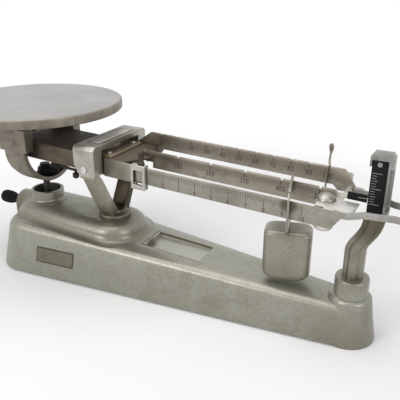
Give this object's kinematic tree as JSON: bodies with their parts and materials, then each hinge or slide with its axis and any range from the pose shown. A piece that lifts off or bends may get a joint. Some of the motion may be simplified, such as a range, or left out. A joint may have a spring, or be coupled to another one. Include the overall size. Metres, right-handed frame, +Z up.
{
  "type": "triple beam balance",
  "caption": "Top loading triple beam balance with a round platform, knife edge beam, hanging poise, levelling link and graduated post.",
  "frame": {"origin": "on the surface that the balance stands on, below the middle of its overall length and on the centre plane of the base", "axes": "+X along the beam towards the pointer, +Y away from the reader, +Z up"},
  "size_m": [0.4142, 0.1524, 0.1533],
  "materials": {
    "hammertone": "grey hammertone paint, lightly worn",
    "satin_steel": "brushed, slightly tarnished",
    "satin_aluminium": "satin",
    "bright_steel": "turned screw heads",
    "dark_steel": "darkened",
    "black_metal": "satin black",
    "black_plastic": "knurled",
    "brown_stone": null,
    "brass": "plain turned"
  },
  "bodies": {
    "base": {"zero_nut": "brass", "base_casting": "hammertone", "pedestal": "hammertone", "pedestal_bolt": "dark_steel", "yoke_cover": "satin_aluminium", "yoke_plate": "satin_steel", "yoke_screws": "bright_steel", "fulcrum_bearings": "brown_stone", "post_arm": "hammertone", "post_bolt": "dark_steel", "head_frame": "satin_aluminium", "stop_pins": "dark_steel", "scale_plate": "black_metal", "scale_screw": "bright_steel", "check_anchor": "satin_steel", "anchor_pin": "bright_steel"},
    "beam": {"beam_channel": "satin_steel", "front_beam": "satin_steel", "middle_beam": "satin_steel", "rear_beam": "satin_steel", "end_plate": "satin_aluminium", "fulcrum_knife": "dark_steel", "pan_knife": "dark_steel", "knife_clamp": "dark_steel", "knife_screws": "bright_steel", "beam_rivets": "bright_steel", "pointer_arm": "satin_aluminium", "pointer_tab": "black_metal", "calibration_cup": "satin_steel", "cup_cap": "satin_aluminium", "pointer_loop": "satin_aluminium", "balance_wire": "dark_steel", "balance_nut": "satin_steel"},
    "pan_support": {"pan_bow": "dark_steel", "pan_bearings": "brown_stone", "check_rod": "dark_steel", "rod_nut": "black_metal", "rod_pin": "bright_steel", "pan_carrier": "dark_steel", "carrier_screws": "bright_steel"},
    "platform": {"platform": "satin_aluminium"},
    "link": {"check_link": "satin_steel"},
    "front_poise": {"front_rider": "satin_steel", "rider_knob": "satin_steel"},
    "middle_poise": {"poise_hanger": "satin_steel", "poise_weight": "hammertone"},
    "rear_poise": {"rear_hanger": "satin_steel", "rear_weight": "hammertone"},
    "knob": {"zero_knob": "black_plastic", "zero_spindle": "satin_steel"}
  },
  "joints": [
    {"name": "beam_tilt", "type": "hinge", "parent": "base", "child": "beam", "pos_m": [-0.05095, 0, 0.1135], "axis": [0, -1, 0], "range_deg": [0, 4]},
    {"name": "pan_level", "type": "hinge", "parent": "beam", "child": "pan_support", "pos_m": [-0.1309, 0, 0.11629], "axis": [0, -1, 0], "range_deg": [-4, 0]},
    {"name": "link_tilt", "type": "hinge", "parent": "base", "child": "link", "pos_m": [-0.05095, 0, 0.026], "axis": [0, -1, 0], "range_deg": [0, 4]},
    {"name": "platform_lift", "type": "slide", "parent": "pan_support", "child": "platform", "axis": [0, 0, 1], "range_m": [0, 0.03]},
    {"name": "front_slide", "type": "slide", "parent": "beam", "child": "front_poise", "axis": [0.9994, 0, -0.0349], "range_m": [0, 0.11657]},
    {"name": "middle_slide", "type": "slide", "parent": "beam", "child": "middle_poise", "axis": [0.9994, 0, -0.0349], "range_m": [-0.11362, 0.019]},
    {"name": "rear_slide", "type": "slide", "parent": "beam", "child": "rear_poise", "axis": [0.9994, 0, -0.0349], "range_m": [-0.1483, 0]},
    {"name": "zero_turn", "type": "hinge", "parent": "base", "child": "knob", "pos_m": [-0.16895, 0, 0.0475], "axis": [1, 0, 0], "range_deg": [-720, 720]}
  ],
  "couplings": [
    {"joint": "pan_level", "follows": "beam_tilt", "ratio": -1},
    {"joint": "link_tilt", "follows": "beam_tilt", "ratio": 1}
  ]
}
